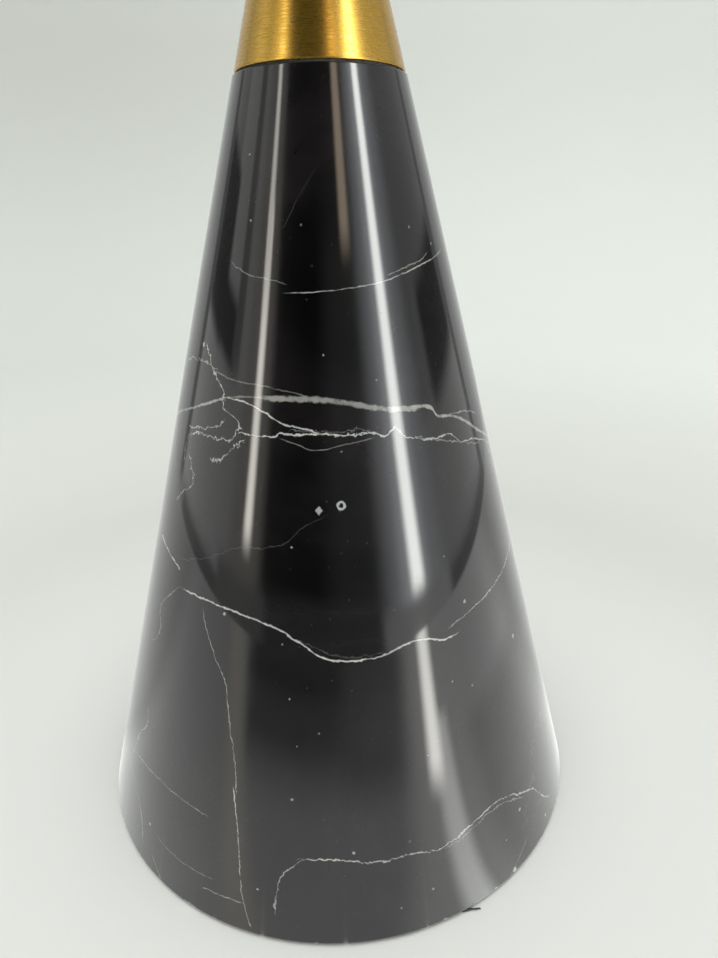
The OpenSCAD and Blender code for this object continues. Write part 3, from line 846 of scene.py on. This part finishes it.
# %% Material: brass
def brushed_brass(name, fine, rough, colour, deep, spread):
    """Brass with strokes round the Z axis; fine sets how close they lie, in strokes per mm or so."""
    material, tree, shader, place = blank(name)
    spot = use(tree, ROUND, {"Vector": place})
    brush = use(tree, BRUSH, {"Around": spot["Angle"], "Across": spot["Height"], "Fine": fine})
    old = noise(tree, place, 26.0, 4.0, 0.65).outputs[0]
    browned = maths(tree, "MULTIPLY", ramp(tree, old, 0.3, 0.75), 0.25)
    shade = maths(tree, "MULTIPLY_ADD", brush["Streak"], 0.6, browned)
    tree.links.new(mix_colour(tree, shade, colour, deep), shader.inputs["Base Color"])
    wear = maths(tree, "MULTIPLY_ADD", brush["Streak"], 0.10, rough)
    tree.links.new(maths(tree, "MULTIPLY_ADD", old, 0.06, wear), shader.inputs["Roughness"])
    bump = node(tree, "Bump", {"Height": brush["Height"], "Strength": 0.05, "Distance": 0.00012})
    tree.links.new(bump.outputs[0], shader.inputs["Normal"])
    round_axis = node(tree, "Tangent", direction_type="RADIAL", axis="Z")
    tree.links.new(round_axis.outputs[0], shader.inputs["Tangent"])
    shader.inputs["Metallic"].default_value = 0.85
    shader.inputs["Anisotropic"].default_value = spread
    shader.inputs["Anisotropic Rotation"].default_value = 0.25
    return material


NECK_BRASS = brushed_brass("neck_brass", 1.6, 0.19, (0.55, 0.345, 0.075), (0.40, 0.215, 0.015), 0.4)
STEM_BRASS = brushed_brass("stem_brass", 1.6, 0.22, (0.61, 0.37, 0.065), (0.45, 0.245, 0.022), 0.4)
RING_BRASS = brushed_brass("ring_brass", 8.0, 0.16, (0.64, 0.41, 0.09), (0.42, 0.24, 0.035), 0.3)
print("three brasses")

# %% [markdown]
# ## Steel, felt, rubber and nylon
# These are the plain pieces that do the work. Each still has the mark of how it was made: a frosted zinc
# plating that yellows in patches, powder paint with its orange-peel skin, felt with matted fibres, moulded
# rubber with a fine bloom, and nylon scuffed by floors.

# %% Materials: working pieces
def working_finish(name, light, dark, scale, rough, skin_scale, relief, metal=0.0, sheen=0.0):
    """A finish whose colour drifts from light to dark and whose skin has a fine relief."""
    material, tree, shader, place = blank(name)
    drift = noise(tree, place, scale, 4.0, 0.6).outputs[0]
    tree.links.new(mix_colour(tree, ramp(tree, drift, 0.3, 0.7), light, dark), shader.inputs["Base Color"])
    values = {"Vector": place, "Smooth": rough[0], "Hazy": rough[1], "Scale": scale * 0.7}
    tree.links.new(use(tree, POLISH, values)["Roughness"], shader.inputs["Roughness"])
    skin = noise(tree, place, skin_scale, 3.0, 0.7).outputs[0]
    bump = node(tree, "Bump", {"Height": skin, "Strength": relief, "Distance": 0.0004})
    tree.links.new(bump.outputs[0], shader.inputs["Normal"])
    shader.inputs["Metallic"].default_value = metal
    shader.inputs["Sheen Weight"].default_value = sheen
    return material


ZINC = working_finish(
    "zinc_steel", (0.66, 0.67, 0.66), (0.56, 0.55, 0.47), 90, (0.24, 0.42), 900, 0.25, metal=1.0
)
PAINT = working_finish(
    "black_paint", (0.016, 0.016, 0.017), (0.024, 0.024, 0.025), 60, (0.38, 0.52), 1400, 0.35
)
FELT = working_finish(
    "black_felt", (0.010, 0.010, 0.011), (0.024, 0.023, 0.023), 700, (0.9, 1.0), 2600, 1.0, sheen=0.3
)
RUBBER = working_finish(
    "black_rubber", (0.014, 0.014, 0.014), (0.026, 0.026, 0.027), 120, (0.6, 0.8), 1800, 0.4
)
NYLON = working_finish(
    "pad_nylon", (0.022, 0.022, 0.023), (0.045, 0.045, 0.044), 160, (0.4, 0.62), 1500, 0.3
)
INSERT = working_finish(
    "insert_brass", (0.74, 0.53, 0.23), (0.55, 0.36, 0.14), 140, (0.28, 0.45), 900, 0.3, metal=1.0
)
print("six working finishes")

# %% [markdown]
# ## Turning and drilling
# A hard corner in a smooth-shaded mesh drags its shading far across the flats beside it, which shows at once
# in a polish. So two extra rings are laid close to the ends of every long stretch of a profile, and edges
# sharper than about 30 degrees are marked sharp. Holes that cross a turned piece are drilled afterwards with
# a Boolean, whose result is read back as a plain mesh.

# %% Finishing helpers
def held(profile, nip=0.08 * MM, closed=False):
    """The profile with two points close to the ends of every stretch longer than 1 mm."""
    path = [np.array(p, float) for p in profile]
    ends = path[1:] + path[:1] if closed else path[1:]
    out = []
    for start, end in zip(path, ends):
        step = end - start
        far = np.linalg.norm(step)
        out.append(start)
        if far > 1.0 * MM:
            out += [start + step / far * nip, end - step / far * nip]
    return out if closed else out + [path[-1]]


def finish_piece(piece, material, slot, *nodes, body="table"):
    """Marks sharp edges, gives the piece its material, and lets it stand for its CAD nodes; slot is not used.
    """
    piece.data.polygons.foreach_set("use_smooth", np.ones(len(piece.data.polygons), bool))
    piece.data.set_sharp_from_angle(angle=math.radians(32))
    piece.data.materials.clear()
    piece.data.materials.append(material)
    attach(piece, body)
    if nodes:
        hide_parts(*nodes)
    print(f"{piece.name}: {len(piece.data.polygons)} faces")


def drilled(piece, drills):
    """The piece less its drills: a Boolean for each, read back as a mesh."""
    for drill in drills:
        cut = piece.modifiers.new("drill", "BOOLEAN")
        cut.operation, cut.solver, cut.object = "DIFFERENCE", "EXACT", drill
    ready = piece.evaluated_get(bpy.context.evaluated_depsgraph_get())
    cut_mesh = bpy.data.meshes.new_from_object(ready)
    piece.modifiers.clear()
    piece.data = cut_mesh
    for drill in drills:
        bpy.data.objects.remove(drill)
    return piece


def pin(name, place, radius, low, high, steps=48):
    """A plain upright pin at place, used as a drill."""
    return lathe(name, [(0, low), (radius, low), (radius, high), (0, high)], steps, place)


def round_places(count, radius):
    """The (x, y) of count places evenly round the axis, the first half a step on from +X."""
    turn = (np.arange(count) + 0.5) * 2 * math.pi / count
    return list(zip(radius * np.cos(turn), radius * np.sin(turn)))


GLIDE_PLACES = round_places(4, 98 * MM)
SCREW_PLACES = round_places(6, 70 * MM)
print("glides at", [tuple(round(v * 1000, 1) for v in p) for p in GLIDE_PLACES])

# %% [markdown]
# ## The stone cone
# The cone is one turned block: a straight line from foot to head with a small bevel at both ends, a bore for
# the tie rod and a hollow foot that takes the base plate. Its foot bevel has been knocked here and there, so
# the rings near the foot are pulled in by a chip wherever a noise round the rim rises above a threshold.

# %% Stone cone
FOOT_ARRIS, HEAD_ARRIS, BORE_R = 1.0 * MM, 0.5 * MM, 7 * MM
RECESS_R, RECESS_TOP = 118 * MM, 24 * MM
CONE_STEPS = 1080


def uneven(angle, scales, seed):
    """A smooth uneven wave round a full turn, about -1 to 1: a sum of whole-number sines."""
    rng = np.random.default_rng(seed)
    phases = rng.uniform(0, 2 * math.pi, len(scales))
    return sum(np.sin(angle * k + p) for k, p in zip(scales, phases)) / math.sqrt(len(scales))


foot_z, head_z = STONE_LOW + FOOT_ARRIS, STONE_HIGH - HEAD_ARRIS
foot_bevel = arc((line_r(foot_z) - FOOT_ARRIS, foot_z), FOOT_ARRIS, -90, 0, 7)
head_bevel = arc((line_r(head_z) - HEAD_ARRIS, head_z), HEAD_ARRIS, 15, 90, 6)
cone_side = [(line_r(z), z) for z in np.linspace(5.5 * MM, 398 * MM, 12)]
outside = [(RECESS_R, STONE_LOW)] + foot_bevel + [(line_r(4 * MM), 4 * MM)] + cone_side + head_bevel
hollow_line = [(BORE_R, STONE_HIGH), (BORE_R, RECESS_TOP), (RECESS_R, RECESS_TOP)]
cone_profile = held(outside + hollow_line, closed=True)
rings = turned_points(cone_profile, CONE_STEPS)
angle = np.arange(CONE_STEPS) * 2 * math.pi / CONE_STEPS
bites = uneven(angle, (23, 41, 67, 110, 173, 260), 4)
chip = np.clip(bites - 1.15, 0, 1) * 1.6 * MM
near_foot = np.clip((6 * MM - rings[..., 2]) / (4 * MM), 0, 1) * (rings[..., 2] < 6 * MM)
radius = np.hypot(rings[..., 0], rings[..., 1])
near_foot = near_foot * (radius > 140 * MM)
pull = 1 - near_foot * chip / radius
rings[..., 0] *= pull
rings[..., 1] *= pull
cone_faces = ring_faces(len(cone_profile), CONE_STEPS, closed=True)
cone = add_mesh("stone_cone_turned", rings.reshape(-1, 3), [cone_faces])
reliefs = [pin("relief", p, 6 * MM, 20 * MM, 42 * MM) for p in GLIDE_PLACES]
finish_piece(drilled(cone, reliefs), CONE_MARBLE, "cone_stone", "stone_cone")

# %% [markdown]
# ## The felt ring
# The cone stands on a ring of black felt glued to its rim, set back so it shows only as a dark line. Felt is
# cut with a knife and its edge is never clean, so the outer wall wavers a few tenths of a millimetre, and at
# one place a torn tuft sticks out past the stone.

# %% Felt ring and tuft
FELT_IN, FELT_OUT, FELT_TOP = 120 * MM, 145 * MM, 2 * MM
felt_profile = held(
    [(FELT_OUT, 0), (FELT_OUT + 0.1 * MM, 1 * MM), (FELT_OUT, FELT_TOP), (FELT_IN, FELT_TOP), (FELT_IN, 0)],
    closed=True,
)
felt_rings = turned_points(felt_profile, 720)
turn = np.arange(720) * 2 * math.pi / 720
waver = 1 + uneven(turn, (31, 57, 90, 140, 211, 300), 9) * 0.0016
felt_rings[..., :2] *= waver[None, :, None]
felt = add_mesh("felt_ring_cut", felt_rings.reshape(-1, 3), [ring_faces(len(felt_profile), 720, closed=True)])
finish_piece(felt, FELT, "black_felt", "felt_ring")

TUFT_AT = math.radians(22)
along = np.linspace(0, 1, 16)
turns = np.linspace(0, 2 * math.pi, 10, endpoint=False)
thick = (1.25 * np.sin(along * math.pi * 0.93 + 0.2) + 0.12) * MM * (1 + 0.35 * np.sin(along * 23))
out_r = 143.5 * MM + along * 10.5 * MM - along**2 * 2.0 * MM
side = np.sin(along * 9.0) * 0.7 * MM + along * 15.0 * MM
lift = 1.0 * MM + 0.35 * MM * np.sin(along * 9)
tube_side = side[:, None] + thick[:, None] * np.cos(turns) * 1.5
tube_lift = lift[:, None] + thick[:, None] * np.sin(turns) * 0.8
tube_out = np.broadcast_to(out_r[:, None], tube_side.shape)
tuft_points = np.stack(
    [
        tube_out * math.sin(TUFT_AT) + tube_side * math.cos(TUFT_AT),
        -tube_out * math.cos(TUFT_AT) + tube_side * math.sin(TUFT_AT),
        np.clip(tube_lift, 0.05 * MM, None),
    ],
    axis=-1,
)
tuft_body = tuft_points.reshape(-1, 3)
caps = np.vstack([tuft_points[0].mean(0), tuft_points[-1].mean(0)])
tuft = add_mesh(
    "felt_tuft",
    np.vstack([tuft_body, caps]),
    [
        ring_faces(16, 10),
        pole_faces(0, 10, 160, flip=True),
        pole_faces(150, 10, 161, flip=False),
    ],
)
finish_piece(tuft, FELT, "black_felt")

# %% [markdown]
# ## The brass neck
# The neck is a turned shell that carries the stone's line on up to the stem. Its foot stands a hair inside
# the stone over a dark gap, and both its edges are rolled over by a fine lip.

# %% Brass neck
LIP, INSET, WALL = 0.8 * MM, 0.6 * MM, 2.5 * MM


def neck_r(z):
    """Radius of the brass at a height: the shared line, set in a little."""
    return line_r(z) - INSET


STEM_FIT = STEM_R + 0.05 * MM
foot_in = neck_r(NECK_LOW) - 4.5 * MM
neck_profile = arc((neck_r(NECK_LOW + LIP) - LIP, NECK_LOW + LIP), LIP, -90, 0, 6)
neck_profile += arc((neck_r(NECK_HIGH - LIP) - LIP, NECK_HIGH - LIP), LIP, 0, 90, 6)
neck_profile += [
    (STEM_FIT, NECK_HIGH),
    (STEM_FIT, NECK_HIGH - 4 * MM),
    (neck_r(NECK_HIGH - 4 * MM) - WALL, NECK_HIGH - 4 * MM),
    (neck_r(NECK_LOW + 6 * MM) - WALL, NECK_LOW + 6 * MM),
    (foot_in, NECK_LOW + 4 * MM),
    (foot_in, NECK_LOW),
]
neck = lathe("brass_neck_turned", held(neck_profile, closed=True), 360, hollow=True)
finish_piece(neck, NECK_BRASS, "neck_brass", "brass_neck")

# %% [markdown]
# ## Stem, ring and collar
# The stem is a plain brass tube. A ring with rounded edges holds the neck down, pinned by a grub screw that
# always goes to the back, and a coved collar hides the joint under the flange at the top.

# %% Stem, ring and collar
stem_in = STEM_R - 2 * MM
stem_profile = [(STEM_R, STEM_LOW), (STEM_R, STEM_HIGH), (stem_in, STEM_HIGH), (stem_in, STEM_LOW)]
stem = lathe("stem_turned", held(stem_profile, closed=True), hollow=True)
finish_piece(stem, STEM_BRASS, "stem_brass", "stem_tube")

RING_LOW, RING_HIGH, RING_R = reach("neck_ring")
BEAD = 2 * MM
ring_profile = [(STEM_FIT, RING_HIGH), (STEM_FIT, RING_LOW)]
ring_profile += arc((RING_R - BEAD, RING_LOW + BEAD), BEAD, -90, 0, 8)
ring_profile += arc((RING_R - BEAD, RING_HIGH - BEAD), BEAD, 0, 90, 8)
ring = lathe("neck_ring_turned", held(ring_profile, closed=True), 192, hollow=True)
hole = pin("grub_hole", (0, 0), 2.05 * MM, -6 * MM, 6 * MM)
to_the_back = Matrix.Translation((0, RING_R, (RING_LOW + RING_HIGH) / 2))
hole.data.transform(to_the_back @ Matrix.Rotation(math.pi / 2, 4, "X"))
finish_piece(drilled(ring, [hole]), RING_BRASS, "ring_brass", "neck_ring")

COLLAR_LOW, COLLAR_HIGH, COLLAR_R = reach("upper_collar")
COVE = 6.5 * MM
collar_profile = [(STEM_FIT, COLLAR_HIGH), (STEM_FIT, COLLAR_LOW)]
collar_profile += arc((COLLAR_R, COLLAR_LOW), COVE, 180, 90, 16) + [(COLLAR_R, COLLAR_HIGH)]
collar = lathe("upper_collar_turned", held(collar_profile, closed=True), 192, hollow=True)
finish_piece(collar, RING_BRASS, "ring_brass", "upper_collar")

# %% [markdown]
# ## The table top and its flange
# The top is a disc of the same marble, its edge rounded above and below so that it shows as one soft line of
# light. Underneath it has a pocket over the rod's end and six brass inserts. The flange below it is painted
# steel with its edges eased, drilled for the six screws.

# %% Table top and flange
EDGE, POCKET_R, POCKET_H = 2.5 * MM, 20 * MM, 12 * MM
top_profile = [(0, TOP_LOW + POCKET_H), (POCKET_R, TOP_LOW + POCKET_H), (POCKET_R, TOP_LOW)]
top_profile += arc((TOP_R - EDGE, TOP_LOW + EDGE), EDGE, -90, 0, 10)
top_profile += arc((TOP_R - EDGE, TOP_HIGH - EDGE), EDGE, 0, 90, 10) + [(0, TOP_HIGH)]
top = lathe("table_top_turned", held(top_profile), 540)
sockets = [pin("insert_hole", p, 4.75 * MM, TOP_LOW - 2 * MM, TOP_LOW + 12 * MM) for p in SCREW_PLACES]
finish_piece(drilled(top, sockets), TOP_MARBLE, "top_stone", "table_top")

SPIGOT_LOW, FLANGE_TOP, FLANGE_R = reach("top_flange")
FLANGE_LOW, EASED = FLANGE_TOP - 5 * MM, 0.6 * MM
SPIGOT_R = stem_in - 0.05 * MM
flange_profile = [(SPIGOT_R, SPIGOT_LOW), (SPIGOT_R, FLANGE_LOW)]
flange_profile += arc((FLANGE_R - EASED, FLANGE_LOW + EASED), EASED, -90, 0, 5)
flange_profile += arc((FLANGE_R - EASED, FLANGE_TOP - EASED), EASED, 0, 90, 5)
flange_profile += [(6.05 * MM, FLANGE_TOP), (6.05 * MM, SPIGOT_LOW)]
flange = lathe("top_flange_turned", held(flange_profile, closed=True), hollow=True)
holes = [pin("screw_hole", p, 3.3 * MM, FLANGE_LOW - 2 * MM, FLANGE_TOP + 2 * MM) for p in SCREW_PLACES]
finish_piece(drilled(flange, holes), PAINT, "black_steel", "top_flange")

# %% [markdown]
# ## Threads
# A screw thread is a ridge that climbs as it goes round. On a grid of heights and angles the radius is the
# core plus a tooth: the distance of z / pitch - angle / turn from the nearest whole number, with its tip and
# root cut flat. Where the thread runs out the tooth shrinks to nothing.

# %% Threaded shapes
def thread_rings(low, high, radius, pitch, bevel, place=(0, 0), steps=40, per_pitch=8):
    """Rings of a right-hand thread between two heights: r = radius - depth x (1 - tooth)."""
    rows = int((high - low) / pitch * per_pitch)
    z = np.linspace(low, high, rows)
    t = np.arange(steps) * 2 * math.pi / steps
    phase = (z[:, None] / pitch - t / (2 * math.pi)) % 1.0
    tooth = np.clip((0.5 - np.abs(phase - 0.5)) * 2.6 - 0.3, 0, 1)
    depth = 0.55 * pitch * (1 - tooth)
    ends = np.clip(1 - np.minimum(z - low, high - z) / bevel, 0, 1) * bevel
    r = np.minimum(radius - depth, radius - ends[:, None])
    x, y = r * np.cos(t) + place[0], r * np.sin(t) + place[1]
    return np.stack([x, y, np.broadcast_to(z[:, None], x.shape)], axis=-1)


def capped(rings, first=0):
    """Points and faces of stacked rings closed with a pole at each end."""
    rows, steps = rings.shape[:2]
    count = rows * steps
    points = np.vstack([rings.reshape(-1, 3), rings[0].mean(0), rings[-1].mean(0)])
    faces = [
        ring_faces(rows, steps) + first,
        pole_faces(0, steps, count, flip=True) + first,
        pole_faces((rows - 1) * steps, steps, count + 1, flip=False) + first,
    ]
    return points, faces


def hexagon_rings(flats, low, high, place):
    """Six-sided rings: radius at angle t is (flats / 2) / cos(distance from the middle of its side)."""
    t = np.arange(72) * 2 * math.pi / 72
    side = (t + math.pi / 6) % (math.pi / 3) - math.pi / 6
    reach_out = flats / 2 / np.cos(side)
    chamfer = flats / 2 / math.cos(math.pi / 6) - flats / 2
    z = np.array([low, low, low + chamfer * 0.6, high - chamfer * 0.6, high, high])
    limit = np.array([flats * 0.3, flats / 2, flats, flats, flats / 2, flats * 0.3])
    r = np.minimum(reach_out, limit[:, None])
    x, y = r * np.cos(t + math.pi / 6) + place[0], r * np.sin(t + math.pi / 6) + place[1]
    return np.stack([x, y, np.broadcast_to(z[:, None], x.shape)], axis=-1)


HEX_LOW, HEX_HIGH = 7.9 * MM, 12.4 * MM
for number, place in enumerate(GLIDE_PLACES, start=1):
    stud_low, stud_high = (corner.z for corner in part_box(f"glide_stud_{number}"))
    tip = [(3.4 * MM, stud_low), (4 * MM, stud_low + 0.6 * MM), (4 * MM, HEX_LOW + 1 * MM)]
    plain = turned_points(tip, 40, place)
    shapes = [plain, hexagon_rings(13 * MM, HEX_LOW, HEX_HIGH, place)]
    shapes.append(thread_rings(HEX_HIGH - 1 * MM, stud_high, 4 * MM, 1.25 * MM, 1 * MM, place))
    points, faces = np.zeros((0, 3)), []
    for shape in shapes:
        more, more_faces = capped(shape, len(points))
        points, faces = np.vstack([points, more]), faces + more_faces
    stud = add_mesh(f"glide_stud_{number}_threaded", points, faces)
    finish_piece(stud, ZINC, "zinc_steel", f"glide_stud_{number}", body=f"glide_screw_{number}")

# %% [markdown]
# The tie rod is the same thread, larger: threaded at both ends for its nuts and plain between.

# %% Tie rod
ROD_LOW, ROD_HIGH, ROD_R = reach("tie_rod")
THREAD_LOW, THREAD_HIGH = 34 * MM, 560 * MM
rod_rings = np.concatenate(
    [
        thread_rings(ROD_LOW, THREAD_LOW, ROD_R, 1.75 * MM, 1 * MM, steps=48),
        turned_points([(ROD_R - 0.1 * MM, z) for z in (35.5 * MM, 200 * MM, 400 * MM, 558.5 * MM)], 48),
        thread_rings(THREAD_HIGH, ROD_HIGH, ROD_R, 1.75 * MM, 1 * MM, steps=48),
    ]
)
rod_points, rod_faces = capped(rod_rings)
rod = add_mesh("tie_rod_threaded", rod_points, rod_faces)
finish_piece(rod, ZINC, "zinc_steel", "tie_rod")

# %% [markdown]
# ## Glide pads
# A pad is a low moulded puck with a rounded sole, a sloping shoulder and a socket that its stud turns in.
# Screwed right in, the pads hang half a millimetre clear of the floor.

# %% Glide pads
for number, place in enumerate(GLIDE_PLACES, start=1):
    pad_low, pad_high = (corner.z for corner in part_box(f"glide_pad_{number}"))
    socket_low, rise = pad_high - 5 * MM, (pad_high - pad_low) * 0.6
    pad_profile = [(0, pad_low)] + arc((13.5 * MM, pad_low + 1.5 * MM), 1.5 * MM, -90, 0, 7)
    pad_profile += [(15 * MM, pad_low + rise), (9 * MM, pad_high), (4.05 * MM, pad_high)]
    pad_profile += [(4.05 * MM, socket_low), (0, socket_low)]
    pad = lathe(f"glide_pad_{number}_moulded", held(pad_profile), 96, place)
    finish_piece(pad, NYLON, "pad_nylon", f"glide_pad_{number}", body=f"glide_foot_{number}")

# %% [markdown]
# ## Pieces that keep their CAD shape
# Nuts, washers, screws and plates are right as the CAD model has them, flat facets and all. They only need
# their finish, which goes into the material slots of the nodes themselves.

# %% Finishes on CAD nodes
KEPT = {
    "base_plate": PAINT, "glide_nuts": ZINC, "rod_nut": ZINC, "rod_spring_washer": ZINC, "rod_washer": ZINC,
    "neck_gasket": RUBBER, "spreader_plate": PAINT, "ring_grub_screw": ZINC, "rod_thin_nut": ZINC,
    "top_pad": RUBBER, "top_inserts": INSERT, "top_washers": ZINC, "top_screws": ZINC,
}
for name, material in KEPT.items():
    for material_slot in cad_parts[name].material_slots:
        material_slot.material = material
print(len(KEPT), "CAD nodes keep their shape")
